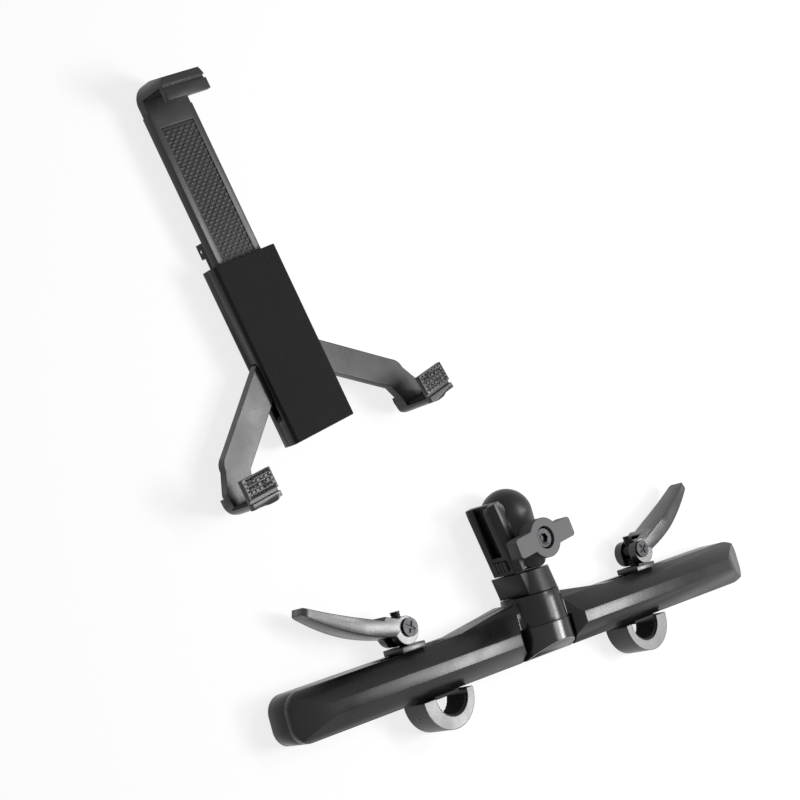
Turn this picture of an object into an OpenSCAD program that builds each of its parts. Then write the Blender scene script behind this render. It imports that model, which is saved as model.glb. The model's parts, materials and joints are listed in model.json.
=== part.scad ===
// Headrest tablet holder: a clamping crossbar with a swivelling head, and the tablet cradle that slides onto it.
// All lengths are in millimetres. X runs along the bar, Y towards the tablet, Z up along the seat posts.
// The two halves lie unclipped side by side; the cradle is turned in plan and rests on its back rail.

/* [Crossbar] */
// length of the bar from end to end
bar_l = 267; // [236:1:310]
// width of the bar from the post side to the lever side
bar_w = 19.6; // [18:0.1:24]
// height of the bar over its flat back
bar_h = 20.5; // [19:0.1:26]
// width of the flat band along the front of the bar
band_w = 4.8; // [3:0.1:8]
// wall of the two bar shells
bar_wall = 2; // [1.6:0.1:2.4]
// height of the seam between the two bar shells
seam_z = 11; // [10.4:0.1:12]

/* [Hub and neck] */
// largest radius of the hub barrel
hub_r = 13.2; // [12:0.1:16]
// length of hub that stands out past the bar on the lever side
hub_rise = 6; // [4.5:0.1:9]
// radius of the neck and of the head
neck_r = 11; // [10:0.1:11]
// distance from the bar axis to the tilt axis under the knob
tilt_y = 37; // [35:0.5:48]
// distance from the tilt axis to the centre of the dome
dome_run = 13; // [10:0.5:20]

/* [Wing knob] */
// span over both wings
knob_span = 33; // [26:0.5:44]
// radius of the round middle
knob_r = 8.3; // [7.4:0.1:10]
// width of a wing
wing_w = 9.6; // [7:0.1:12]
// angle at which the wings stand in the stored pose
knob_turn = 8; // [0:1:90]

/* [Post hooks and levers] */
// distance from the hub to each post
post_x = 60; // [54:0.5:68]
// radius of the clamped post inside the rubber lining
post_r = 5.8; // [5:0.1:8]
// thickness of the hook around the lining
hook_wall = 6.2; // [5:0.1:8]
// height of a hook along the post
hook_h = 13; // [10:0.1:15]
// length of a lever from its pin to its tip
lever_l = 50; // [42:0.5:60]
// height of a lever at its root
lever_h = 12.6; // [11:0.1:15]
// thickness of the lever blade
lever_t = 5; // [4:0.1:6]
// angle between the left lever and the bar
left_open = 20; // [0:1:60]
// angle between the right lever and the bar
right_open = 25; // [0:1:60]

/* [Dock plate] */
// length of the plate on the side of the head
plate_l = 30; // [28:0.2:40]
// height of the plate
plate_w = 18; // [15:0.1:20]
// thickness of the plate
plate_t = 5.2; // [4.8:0.1:7]
// width of the mushroom rail on the cradle
rail_w = 10; // [8:0.1:11]
// lean of the plate towards the bar
plate_lean = 11.2; // [0:0.2:14]

/* [Cradle body] */
// width of the cradle body
body_w = 31; // [30:0.1:38]
// length of the cradle body
body_l = 74; // [70:0.5:86]
// thickness of the foam pad
pad_t = 2; // [1:0.1:3]
// turn of the cradle in plan
cradle_turn = 12.4; // [0:0.1:25]

/* [Arm and legs] */
// width of the sliding arm
arm_w = 22; // [18:0.1:22.4]
// distance from the body centre to the inside of the claw
claw_v = 105.5; // [100:0.1:118]
// gap between the pad and the lips for the tablet
grip_gap = 9; // [7:0.1:13]
// width of a lip over the tablet at the feet
lip_w = 14; // [11:0.1:16]
// width of a leg
leg_w = 11.7; // [10:0.1:12.2]
// distance from a leg pivot to the middle of its foot
leg_l = 51.6; // [47:0.1:60]
// angle of the left leg from the body axis
left_leg = 50.5; // [42:0.5:58]
// angle of the right leg from the body axis
right_leg = 56.5; // [42:0.5:58]

/* [Hidden] */
$fn = 64;
eps = 0.01;
run_fit = 0.05;
slide_gap = 0.15;
clear_gap = 0.3;

// bar sections
half_l = bar_l / 2;
half_w = bar_w / 2;
end_r = 7;
shoulder_z = seam_z + 1.8;
end_slope_l = 15;
end_edge_z = seam_z + 1;
cav_y = half_w - bar_wall;
cav_end = half_l - 18;
valley_x = hub_r + 6.3;
valley_d = 5;
hub_wall_x = valley_x + 1;
hub_end_r = neck_r + 1.6;
hub_front_y = -half_w + 5.3;
hub_top_y = half_w + hub_rise;
hub_split_y = 3;
band_t = 0.9;
flare_l = 30;
flare_y = hub_top_y - 2;
neck_y = hub_top_y + 0.3;
neck_base_r = hub_end_r - 0.2;
neck_flat = neck_r - 0.2;
neck_top_y = tilt_y - neck_r - 0.5;

// spigot of the neck inside the hub
spigot_r = 7;
flange_r = 8.8;
flange_t = 3;
flange_y = hub_top_y - 9;
ring_t = 1;

// hook and lever places
stem_z = seam_z - 2.4;
stem_r = 2;
liner_t = 1;
hook_in = post_r + liner_t;
hook_out = hook_in + hook_wall;
hook_mid = (hook_in + hook_out) / 2;
hook_off = 1.4;
hook_bore = hook_in + hook_off;
tip_w = hook_out - hook_off - hook_bore;
stem_dx = hook_mid;
root_gap = 0.75;
tip_rise = 0.75;
ring_y = -half_w - root_gap - tip_rise;
slide_x = 12;
draw_out = 6;
car_l = 14;
car_y = cav_y - slide_gap;
car_z0 = bar_wall + 0.1;
car_z1 = stem_z + 3.4;
sleeve_r = 3.2;
slot_half = sleeve_r + 0.2;
post_pad_t = 1.3;
cam_plate_t = 2.4;
cam_plate_y = half_w + slide_gap;
cam_plate_h = 12.4;
cam_plate_w = 12;
cam_e = 1.6;
cam_r = 5.6;
cam_ang = 29.5;
cam_gap = 0.2;
pin_y = cam_plate_y + cam_plate_t + cam_gap + cam_r + cam_e * sin(cam_ang);
pin_r = 3;
slot_r = 8.8;
stem_end = pin_y + draw_out + 1;

// head and knob levels
axis_z = seam_z;
tongue_t = 7.6;
tongue_r = 7.4;
fork_gap = 0.1;
knob_z0 = axis_z + neck_r + 0.6;
knob_z1 = knob_z0 + 7.4;
wing_z0 = knob_z0 + 1.4;
screw_r = 2.5;
recess_r = 4.7;
recess_d = 3.6;
plate_x = neck_r + 1.2;
plate_low = neck_r - 2.2;
plate_block = 5.7;
plate_corner = 3.5;
plate_bevel = 2.4;
rail_neck_w = rail_w - 4;
rail_neck_t = 1.3;
rail_head_t = 1.7;
chan_y0 = 8 - plate_low;
rail_l = plate_l - 8;
rail_v0 = -8;

// cradle levels, counted from the floor
rail_h = rail_neck_t + rail_head_t;
back_z = rail_h;
floor_t = 1.6;
arm_z0 = back_z + 3;
arm_t = 4.2;
arm_z1 = arm_z0 + arm_t;
leg_t = 3.8;
leg_z1 = arm_z1 + 0.1;
leg_z0 = leg_z1 - leg_t;
skirt_z = back_z + 4.6;
lid_z0 = leg_z1 + 0.15;
lid_t = 1.2;
lid_z1 = lid_z0 + lid_t;
pad_z1 = lid_z1 + pad_t;
lip_t = 2.4;
lip_z0 = pad_z1 + grip_gap;
lip_z1 = lip_z0 + lip_t;
body_x = body_w / 2;
body_y = body_l / 2;
skirt_t = 1.5;
back_in = 1;
groove_w = 1.4;
groove_d = 1.2;
wall_t = 3;
sleeve_l = 11;

// arm places
arm_in = 18;
arm_out = 10;
arm_foot_v = body_y - 18;
strip_w = 3;
recess_depth = 0.7;
rib_p = 2;
rib_h = 0.4;
rack_w = 7;
rack_d = 0.9;
rib_v0 = arm_foot_v + 4;
rib_v1 = claw_v - 16;
claw_out = 6.5;
claw_over = 5.8;
claw_wall = 3.2;
claw_corner = 8;

// leg places
pivot_u = body_x - 4.3;
pivot_v = -7.3;
pivot_r = 3;
leg_pin_r = 1.6;
washer_t = 0.5;
washer_r = 3.4;
leg_round = 0.05;
disc_r = leg_w / 2 + leg_round;
design_leg = 50.5;
foot_lag = 5.1;
leg_in = 29.5;
leg_out = 59;
foot_in = 2.2;
foot_low = 7.4;
foot_corner = 6;
heel_corner = 3.5;

// release rocker
rock_v = body_y + 8;
rock_t = 1.8;
rock_z = back_z - 1.6;
rock_grip = 4.6;
cheek_w = 3;
tab_v0 = body_y + sleeve_l + 3;
tab_v1 = tab_v0 + 10;
tab_w = 14;

// plan place of the cradle
cradle_x = -89.4;
cradle_y = 137.6;

// shared shapes

module ycyl(r, l) {
  rotate([-90, 0, 0]) cylinder(r = r, h = l);
}

module xcyl(r, l) {
  rotate([0, 90, 0]) cylinder(r = r, h = l);
}

module both_ends() {
  children();
  mirror([1, 0, 0]) children();
}

module round_plan(l, w, r) {
  square([l - 2 * r, w], center = true);
  square([l, w - 2 * r], center = true);
  for (sx = [-1, 1], sy = [-1, 1]) {
    translate([sx * (l / 2 - r), sy * (w / 2 - r)]) circle(r = r);
  }
}

// a pan head screw standing on its head, thread up
module screw(head_r, head_t, shank_r, shank_l) {
  difference() {
    union() {
      cylinder(r = head_r, h = head_t, $fn = 40);
      cylinder(r = shank_r, h = head_t + shank_l, $fn = 32);
    }
    for (a = [0, 90]) rotate([0, 0, a]) {
      translate([-head_r * 0.6, -0.3, -eps]) cube([head_r * 1.2, 0.6, head_t * 0.55]);
    }
  }
}

// crossbar

module bar_section(in) {
  y = half_w - in;
  b = band_w / 2 - in * 0.4;
  polygon([[-y, 0], [-y, shoulder_z - in * 0.4], [-b, bar_h - in], [b, bar_h - in], [y, shoulder_z - in * 0.4], [y, 0]]);
}

module bar_prism(in, l) {
  translate([-l / 2, 0, 0]) rotate([90, 0, 90]) linear_extrude(l) bar_section(in);
}

// the triangular facet where the bar widens to meet the hub
module flare() {
  p0 = [hub_r + flare_l, half_w, shoulder_z];
  v1 = [-flare_l, flare_y - half_w, 0];
  v2 = [-flare_l, band_w / 2 - half_w, bar_h - shoulder_z];
  n = cross(v1, v2);
  d = norm(n);
  both_ends() intersection() {
    linear_extrude(bar_h) polygon([[hub_r + flare_l, 0], [hub_r + flare_l, half_w], [hub_r - 2, flare_y + 0.27], [hub_r - 2, 0]]);
    translate(p0) rotate([0, acos(n[2] / d), atan2(n[1], n[0])]) translate([-100, -100, -100]) cube([200, 200, 100]);
  }
}

// the dip on either side of the hub that lets the barrel stand free of the bar's front
module valleys() {
  both_ends() translate([0, hub_top_y + 1, 0]) rotate([90, 0, 0]) linear_extrude(hub_top_y + half_w + 2) {
    polygon([[0, bar_h - valley_d], [hub_r + 1, bar_h - valley_d], [valley_x, bar_h], [valley_x + 1, bar_h + 1], [0, bar_h + 1]]);
  }
}

// side outline of the hub: its post side slopes back like the facet of the bar
module hub_side() {
  rotate([90, 0, 90]) translate([0, 0, -hub_r - 2]) linear_extrude(2 * hub_r + 4) {
    polygon([[-half_w, 0], [-half_w, shoulder_z], [hub_front_y, axis_z + hub_r + 1], [hub_top_y, axis_z + hub_r + 1], [hub_top_y, 0]]);
  }
}

module hub_barrel() {
  intersection() {
    translate([0, 0, axis_z]) {
      translate([0, -half_w - 1, 0]) ycyl(hub_r, half_w + 1 + hub_split_y);
      translate([0, hub_split_y, 0]) rotate([-90, 0, 0]) cylinder(r1 = hub_r, r2 = hub_end_r, h = hub_top_y - hub_split_y);
    }
    hub_side();
  }
}

module bar_outside() {
  difference() {
    union() {
      difference() {
        union() {
          intersection() {
            bar_prism(0, bar_l);
            linear_extrude(bar_h) round_plan(bar_l, bar_w, end_r);
          }
          flare();
        }
        valleys();
      }
      hub_barrel();
    }
    both_ends() translate([half_l, -half_w - 1, end_edge_z + 1.6]) {
      rotate([0, atan((bar_h - end_edge_z - 1.6) / end_slope_l) - 90, 0]) cube([30, bar_w + 2, 40]);
    }
    translate([-bar_l, -50, -50]) cube([2 * bar_l, 100, 50]);
  }
}

module neck_socket() {
  translate([0, flange_y - ring_t - 0.1, axis_z]) ycyl(flange_r + clear_gap, flange_t + ring_t + 0.2);
  translate([0, flange_y, axis_z]) ycyl(spigot_r + run_fit, hub_top_y);
}

module bar_cavity() {
  difference() {
    intersection() {
      both_ends() translate([(cav_end + hub_wall_x) / 2, 0, 0]) bar_prism(bar_wall, cav_end - hub_wall_x);
      translate([-bar_l, -bar_w, bar_wall]) cube([2 * bar_l, 2 * bar_w, bar_h]);
    }
    screw_posts(3.4);
  }
  both_ends() {
    x0 = post_x + stem_dx - car_l / 2 - slide_x - 0.5;
    x1 = post_x + stem_dx + sleeve_r + slide_x + 0.5;
    translate([x0, -half_w - 5, stem_z - slot_half]) cube([x1 - x0, bar_w + 10, 2 * slot_half]);
  }
}

screw_spots = [hub_r + 8, cav_end - 6];

module screw_posts(r) {
  both_ends() for (x = screw_spots) {
    translate([x, 0, 0]) cylinder(r = r, h = bar_h, $fn = 40);
  }
}

module bar_solid() {
  difference() {
    bar_outside();
    bar_cavity();
    neck_socket();
  }
}

// rebate of the front shell that carries the hub band
module band_ring(r0, r1, gap) {
  translate([0, -half_w - eps, axis_z]) difference() {
    ycyl(r1, half_w + hub_split_y + gap);
    translate([0, -1, 0]) ycyl(r0, half_w + hub_split_y + 2);
    translate([-30, -1, -60 + 0.6 - gap]) cube([60, 60, 60]);
  }
}

module bar_rear_shell() {
  color([0.10, 0.10, 0.11]) difference() {
    intersection() {
      bar_solid();
      translate([-bar_l, -bar_w * 2, 0]) cube([2 * bar_l, bar_w * 4, seam_z - 0.05]);
    }
    both_ends() for (x = screw_spots) translate([x, 0, -eps]) {
      cylinder(r = 3 + clear_gap, h = 2.3, $fn = 40);
      cylinder(r = 1.5 + clear_gap, h = seam_z + 1, $fn = 32);
    }
  }
}

module bar_front_shell() {
  color([0.08, 0.08, 0.09]) difference() {
    intersection() {
      bar_solid();
      translate([-bar_l, -bar_w * 2, seam_z]) cube([2 * bar_l, bar_w * 4, bar_h * 2]);
    }
    both_ends() for (x = screw_spots) translate([x, 0, -eps]) {
      cylinder(r = 1.5 + run_fit, h = shoulder_z + 3.4, $fn = 32);
    }
    band_ring(hub_r - band_t, hub_r + 3, 0.05);
  }
}

module hub_band() {
  color([0.13, 0.13, 0.14]) intersection() {
    band_ring(hub_r - band_t + 0.02, hub_r + 0.15, 0);
    translate([0, -0.02, 0]) hub_side();
  }
}

module bar_screws() {
  color([0.62, 0.62, 0.64]) both_ends() for (x = screw_spots) {
    translate([x, 0, 0.5]) screw(3, 1.7, 1.5, seam_z + 1.6);
  }
}

module thrust_ring() {
  color([0.72, 0.70, 0.64]) translate([0, flange_y - ring_t, axis_z]) difference() {
    ycyl(flange_r, ring_t);
    translate([0, -1, 0]) ycyl(4.5, ring_t + 2);
  }
}

// neck and head

// frame of the dock plate: origin on the tilt axis, plate towards -X
module dock_frame() {
  translate([0, tilt_y, axis_z]) rotate([0, 0, plate_lean]) children();
}

module neck() {
  color([0.09, 0.09, 0.10]) {
    difference() {
      union() {
        translate([0, flange_y + run_fit, axis_z]) ycyl(flange_r, flange_t);
        translate([0, flange_y + 0.5, axis_z]) ycyl(spigot_r, neck_y - flange_y);
        neck_outside();
        translate([0, 0, axis_z - tongue_t / 2]) linear_extrude(tongue_t) {
          translate([0, tilt_y]) circle(r = tongue_r);
          translate([-tongue_r, tilt_y - neck_r - 2]) square([2 * tongue_r, neck_r + 2]);
        }
      }
      translate([0, tilt_y, -1]) cylinder(r = screw_r + run_fit, h = 60);
      translate([0, flange_y - 1, axis_z]) ycyl(4.5, flange_t + 5);
    }
  }
}

// tapered neck with a flat back, and a flank in one plane with the dock plate
module neck_outside() {
  difference() {
    intersection() {
      union() {
        translate([0, neck_y, axis_z]) rotate([-90, 0, 0]) {
          cylinder(r1 = neck_base_r, r2 = neck_r, h = neck_top_y - neck_y);
        }
        translate([-plate_x, neck_y, axis_z - plate_w / 2]) cube([plate_x, neck_top_y - neck_y, plate_w]);
      }
      translate([-50, 0, axis_z - neck_flat]) cube([100, 100, 2 * neck_flat + 10]);
    }
    dock_frame() translate([-plate_x - 50, -60, -30]) cube([50, 100, 60]);
  }
}

module head() {
  slot_t = tongue_t + 2 * fork_gap;
  color([0.09, 0.09, 0.10]) difference() {
    union() {
      translate([0, tilt_y, axis_z]) ycyl(neck_r, dome_run);
      translate([0, tilt_y + dome_run, axis_z]) sphere(r = neck_r);
      intersection() {
        translate([0, tilt_y - neck_r, axis_z]) ycyl(neck_r, 2 * neck_r);
        translate([0, tilt_y, 0]) cylinder(r = neck_r - 0.1, h = 60);
      }
      translate([0, tilt_y, axis_z]) cylinder(r = knob_r - 0.9, h = neck_r + 0.4);
      dock_frame() dock_plate();
    }
    translate([0, tilt_y, axis_z - slot_t / 2]) linear_extrude(slot_t) {
      circle(r = tongue_r + clear_gap);
      translate([-tongue_r - clear_gap, -3 * neck_r]) square([5 * neck_r, 3 * neck_r + tongue_r + clear_gap]);
    }
    translate([0, tilt_y, -5]) cylinder(r = screw_r + run_fit, h = 60);
    translate([0, tilt_y, axis_z - neck_r - 1]) cylinder(r = 5.1, h = 4.4, $fn = 6);
    dock_frame() {
      dock_channel();
      latch_pocket();
    }
  }
}

// plate with bevelled long edges, thicker beside the dome
module dock_plate() {
  top = plate_l - plate_low;
  bevel = plate_bevel / sqrt(2);
  difference() {
    translate([-plate_x, 0, -plate_w / 2]) linear_extrude(plate_w) {
      translate([0, -plate_low]) square([plate_t, plate_l - plate_corner]);
      square([plate_block, top - plate_corner]);
      translate([plate_corner, 0]) square([plate_block - plate_corner, top]);
      translate([plate_corner, top - plate_corner]) circle(r = plate_corner);
    }
    for (z = [-plate_w / 2, plate_w / 2]) translate([-plate_x, -plate_low - 1, z]) rotate([0, 45, 0]) {
      translate([-bevel, 0, -bevel]) cube([2 * bevel, plate_l + 2, 2 * bevel]);
    }
  }
}

module dock_channel() {
  translate([-plate_x - 1, chan_y0, -rail_neck_w / 2 - 0.2]) cube([rail_neck_t + 2, plate_l, rail_neck_w + 0.4]);
  translate([-plate_x + rail_neck_t - 0.15, chan_y0, -rail_w / 2 - 0.2]) cube([rail_head_t + 0.35, plate_l, rail_w + 0.4]);
}

latch_l = 4.4;
latch_w = 8;
latch_t = 2.3;
latch_out = 0.7;
latch_y = 1.6 - plate_low;
pocket_d = 2.6;

module latch_pocket() {
  translate([-plate_x - 1, latch_y, -latch_w / 2 - 0.1]) cube([pocket_d + 1, latch_l + 0.2, latch_w + 0.2]);
}

module dock_latch() {
  color([0.16, 0.16, 0.17]) dock_frame() translate([-plate_x - latch_out, latch_y + 0.1, -latch_w / 2]) {
    difference() {
      cube([latch_t, latch_l, latch_w]);
      for (k = [1:3]) translate([-0.5, -1, k * latch_w / 4 - 0.3]) cube([0.9, latch_l + 2, 0.6]);
    }
  }
}

// bent leaf behind the latch
module latch_spring() {
  x0 = -plate_x - latch_out + latch_t;
  x1 = -plate_x + pocket_d;
  t = 0.2;
  color([0.7, 0.7, 0.72]) dock_frame() translate([0, latch_y + 0.8, 0]) rotate([-90, 0, 0]) linear_extrude(3) {
    polygon([[x1, -3], [x1, 3], [x1 - t, 3], [x0, 0.6], [x0, -0.6], [x1 - t, -3]]);
  }
}

module clamp_nut() {
  color([0.66, 0.66, 0.68]) translate([0, tilt_y, axis_z - neck_r + 0.4]) difference() {
    cylinder(r = 5, h = 2.95, $fn = 6);
    translate([0, 0, -1]) cylinder(r = screw_r + run_fit, h = 6);
  }
}

module wing_knob() {
  color([0.16, 0.16, 0.17]) translate([0, tilt_y, 0]) rotate([0, 0, knob_turn]) difference() {
    union() {
      translate([0, 0, knob_z0]) cylinder(r = knob_r, h = knob_z1 - knob_z0);
      translate([0, 0, wing_z0]) linear_extrude(knob_z1 - wing_z0) wing_plan();
    }
    translate([0, 0, knob_z1 - recess_d]) cylinder(r = recess_r, h = recess_d + 1);
    translate([0, 0, knob_z0 - 1]) cylinder(r = screw_r + run_fit, h = 20);
  }
}

module wing_plan() {
  r = 1.6;
  tip = knob_span / 2 - r;
  for (s = [-1, 1]) {
    translate([s > 0 ? 0 : -tip, -wing_w / 2 + (s > 0 ? 0 : 1.2)]) square([tip, wing_w - 1.2]);
    translate([s * tip, -wing_w / 2 + r + (s > 0 ? 0 : 1.2)]) circle(r = r);
    translate([s * tip, wing_w / 2 - r - (s > 0 ? 1.2 : 0)]) circle(r = r);
    translate([s > 0 ? tip : -tip - r, -wing_w / 2 + r + (s > 0 ? 0 : 1.2)]) square([r, wing_w - 1.2 - 2 * r]);
  }
}

module clamp_screw() {
  z0 = axis_z - neck_r + 0.6;
  z1 = knob_z1 - recess_d;
  color([0.74, 0.74, 0.76]) translate([0, tilt_y, 0]) difference() {
    union() {
      translate([0, 0, z0]) cylinder(r = screw_r, h = z1 - z0 + 1);
      translate([0, 0, z1 + 0.5]) cylinder(r = 3.9, h = 2.2);
    }
    translate([0, 0, z1 + 1.3]) cylinder(r = 1.9, h = 3, $fn = 6);
  }
}

module knob_washer() {
  color([0.7, 0.7, 0.72]) translate([0, tilt_y, knob_z1 - recess_d]) difference() {
    cylinder(r = 4.3, h = 0.45);
    translate([0, 0, -1]) cylinder(r = screw_r + run_fit, h = 3);
  }
}

// one clamping side, drawn for the right and mirrored for the left

stem_x = post_x + stem_dx;

module carriage() {
  difference() {
    translate([stem_x - car_l / 2, -car_y, car_z0]) cube([car_l, 2 * car_y, car_z1 - car_z0]);
    translate([stem_x, -bar_w, stem_z]) ycyl(stem_r + run_fit, 2 * bar_w);
    for (s = [-1, 1]) translate([stem_x + s * (car_l / 2 - 2.4) - 1.2, -car_y + 1.4, stem_z + 1.4]) {
      cube([2.4, 2 * car_y - 2.8, 4]);
    }
  }
}

module post_pad() {
  w = 2 * (hook_in - 0.6);
  y1 = -half_w - slide_gap;
  translate([post_x - w / 2, y1 - post_pad_t, stem_z - 5.6]) cube([w, post_pad_t, 11.2]);
  translate([stem_x - car_l / 2, y1 - eps, stem_z - 2.2]) cube([3, -car_y - y1 + eps, 4.4]);
  translate([post_x, y1 - post_pad_t, stem_z - 2.2]) cube([stem_x - car_l / 2 - post_x + 3, post_pad_t, 4.4]);
}

module cam_plate() {
  difference() {
    union() {
      translate([stem_x - cam_plate_w / 2, cam_plate_y, stem_z - cam_plate_h / 2]) cube([cam_plate_w, cam_plate_t, cam_plate_h]);
      translate([stem_x, car_y, stem_z]) ycyl(sleeve_r, cam_plate_y - car_y + eps);
    }
    translate([stem_x, 0, stem_z]) ycyl(stem_r + run_fit, 2 * bar_w);
  }
}

// crescent hook: thick at the rod, thin at the free tip
module hook() {
  tip_x = post_x - hook_out + tip_w / 2;
  difference() {
    translate([0, 0, stem_z - hook_h / 2]) linear_extrude(hook_h) {
      difference() {
        translate([post_x, ring_y]) circle(r = hook_out, $fn = 96);
        translate([post_x - hook_off, ring_y]) circle(r = hook_bore);
        translate([post_x - 30, ring_y]) square([60, 40]);
      }
      translate([tip_x, ring_y]) intersection() {
        circle(r = tip_w / 2);
        translate([-tip_w, 0]) square([2 * tip_w, tip_rise]);
      }
      translate([stem_x - hook_wall / 2, ring_y]) square([hook_wall, tip_rise]);
    }
    translate([stem_x, ring_y - 5.4, stem_z]) ycyl(stem_r, 10);
  }
}

module liner() {
  translate([0, 0, stem_z - hook_h / 2 + 0.8]) linear_extrude(hook_h - 1.6) intersection() {
    translate([post_x - hook_off, ring_y]) difference() {
      circle(r = hook_bore);
      circle(r = hook_bore - liner_t);
    }
    translate([post_x - 30, ring_y - 40]) square([60, 38.6]);
  }
}

module stem() {
  translate([stem_x, ring_y - 5.4, stem_z]) ycyl(stem_r, stem_end - ring_y + 5.4);
}

module lever_pin() {
  translate([stem_x, pin_y, 0]) difference() {
    union() {
      translate([0, 0, stem_z - lever_h / 2 - 0.5]) cylinder(r = pin_r, h = lever_h + 0.6);
      translate([0, 0, stem_z + lever_h / 2 + 0.05]) cylinder(r = 3.7, h = 0.9, $fn = 48);
    }
    translate([0, -10, stem_z]) ycyl(stem_r + 0.02, 20);
    for (a = [30, 120]) rotate([0, 0, a]) {
      translate([-2.4, -0.35, stem_z + lever_h / 2 + 0.5]) cube([4.8, 0.7, 2]);
    }
  }
}

// blade curve: two arcs whose centres lie on the far side from the bar
blade_r = 92;
blade_out_r = 250;
blade_drop = 2.6;
blade_out_y = 1.2;

module blade_plan() {
  tip_r = lever_t * 0.34;
  intersection() {
    difference() {
      translate([lever_l * 0.36, blade_r - blade_drop - lever_t / 2]) circle(r = blade_r, $fn = 240);
      translate([lever_l * 0.40, blade_out_r + blade_out_y]) circle(r = blade_out_r, $fn = 360);
    }
    translate([0, -20]) square([lever_l - tip_r, 60]);
  }
}

// side outline: straight and full at the root, tapering to a round tip
module blade_side() {
  h0 = lever_h / 2;
  h1 = lever_h * 0.34;
  x0 = lever_l * 0.45;
  x1 = lever_l - h1;
  x2 = x0 - (x1 - x0) / (h0 - h1);
  polygon([[-20, -h0 - 1], [x2, -h0 - 1], [x1, -h1], [x1, h1], [x2, h0 + 1], [-20, h0 + 1]]);
  translate([x1, 0]) circle(r = h1);
}

// lever in its own frame: pin at the origin, blade along +X, bar towards -Y
module lever_shape(open) {
  difference() {
    intersection() {
      translate([0, 0, -lever_h / 2]) linear_extrude(lever_h) {
        difference() {
          blade_plan();
          circle(r = 4);
        }
        rotate(-open) translate([cam_e * cos(cam_ang), -cam_e * sin(cam_ang)]) circle(r = cam_r);
        translate([0, -cam_r + 1.2]) square([12, cam_r + 1.6]);
      }
      rotate([90, 0, 0]) translate([0, 0, -30]) linear_extrude(60) blade_side();
    }
    translate([0, 0, -lever_h]) cylinder(r = pin_r + run_fit, h = 2 * lever_h);
    translate([0, 0, -stem_r - 0.5]) cylinder(r = slot_r, h = 2 * stem_r + 1);
  }
}

module lever(open) {
  translate([stem_x, pin_y, stem_z]) rotate([0, 0, open]) lever_shape(open);
}

module left() {
  mirror([1, 0, 0]) children();
}

module left_carriage() { color([0.75, 0.73, 0.66]) left() carriage(); }
module right_carriage() { color([0.75, 0.73, 0.66]) carriage(); }
module left_post_pad() { color([0.07, 0.07, 0.07]) left() post_pad(); }
module right_post_pad() { color([0.07, 0.07, 0.07]) post_pad(); }
module left_cam_plate() { color([0.12, 0.12, 0.13]) left() cam_plate(); }
module right_cam_plate() { color([0.12, 0.12, 0.13]) cam_plate(); }
module left_hook() { color([0.14, 0.14, 0.15]) left() hook(); }
module right_hook() { color([0.14, 0.14, 0.15]) hook(); }
module left_liner() { color([0.07, 0.07, 0.07]) left() liner(); }
module right_liner() { color([0.07, 0.07, 0.07]) liner(); }
module left_stem() { color([0.7, 0.7, 0.72]) left() stem(); }
module right_stem() { color([0.7, 0.7, 0.72]) stem(); }
module left_lever() { color([0.14, 0.14, 0.15]) left() lever(left_open); }
module right_lever() { color([0.14, 0.14, 0.15]) lever(right_open); }
module left_lever_pin() { color([0.6, 0.6, 0.62]) left() lever_pin(); }
module right_lever_pin() { color([0.6, 0.6, 0.62]) lever_pin(); }

// cradle, drawn with its body centre at the origin and the claw towards +Y

module cradle_place() {
  translate([cradle_x, cradle_y, 0]) rotate([0, 0, cradle_turn]) children();
}

// room that the arm needs inside the body
module arm_way(gap) {
  translate([-arm_w / 2 - gap, arm_foot_v - arm_in - 0.4, arm_z0 - gap]) {
    cube([arm_w + 2 * gap, body_l, arm_t + 2 * gap]);
  }
}

// room that the two legs need inside the body
module leg_way(z0, z1) {
  translate([0, 0, z0]) linear_extrude(z1 - z0) {
    for (s = [-1, 1]) translate([s * pivot_u, pivot_v]) {
      circle(r = disc_r + 0.4);
      leg_sweep(s);
    }
  }
}

// plan of the ground a leg sweeps between its two end angles
module leg_sweep(s) {
  h = leg_w / 2 + 0.4;
  reach = body_w;
  p0 = -h * [-cos(leg_in), sin(leg_in)];
  p1 = h * [-cos(leg_out), sin(leg_out)];
  far0 = p0 + reach * [-sin(leg_in), -cos(leg_in)];
  far1 = p1 + reach * [-sin(leg_out), -cos(leg_out)];
  polygon([for (p = [p0, far0, far1, p1]) [-s * p[0], p[1]]]);
}

boss_r = 2.2;
boss_u = body_x - 2.9;
boss_spots = [[-boss_u, body_y - 4], [boss_u, body_y - 4], [-boss_u + 3, -body_y + 4], [boss_u - 3, -body_y + 4]];
small_screw_r = 0.8;
small_head_r = 1.5;

module at_bosses() {
  for (p = boss_spots) translate([p[0], p[1], 0]) children();
}

module cradle_back() {
  wide = body_x - 0.2;
  narrow = body_x - back_in;
  color([0.10, 0.10, 0.11]) cradle_place() difference() {
    union() {
      translate([0, body_y, back_z]) rotate([90, 0, 0]) linear_extrude(body_l) {
        polygon([[-narrow, 0], [narrow, 0], [wide, skirt_z - back_z], [-wide, skirt_z - back_z]]);
      }
      translate([-rail_neck_w / 2, rail_v0, eps]) cube([rail_neck_w, rail_l, back_z + 0.1]);
      translate([-rail_w / 2, rail_v0, 0]) cube([rail_w, rail_l, rail_head_t]);
      rocker_cheeks();
    }
    translate([0, 0, back_z + floor_t]) linear_extrude(20) difference() {
      square([2 * narrow - 1.6, body_l - 3.2], center = true);
      at_bosses() circle(r = boss_r);
      for (s = [-1, 1]) translate([s * pivot_u, pivot_v]) circle(r = pivot_r);
    }
    arm_way(slide_gap);
    leg_way(leg_z0 - washer_t - 0.05, 40);
    at_bosses() translate([0, 0, back_z - 1]) {
      cylinder(r = small_screw_r + 0.2, h = 10, $fn = 32);
      cylinder(r = small_head_r + 0.2, h = 2, $fn = 32);
    }
    for (s = [-1, 1]) translate([s * pivot_u, pivot_v, back_z + 1]) cylinder(r = leg_pin_r, h = 10);
    rocker_room();
  }
}

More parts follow.
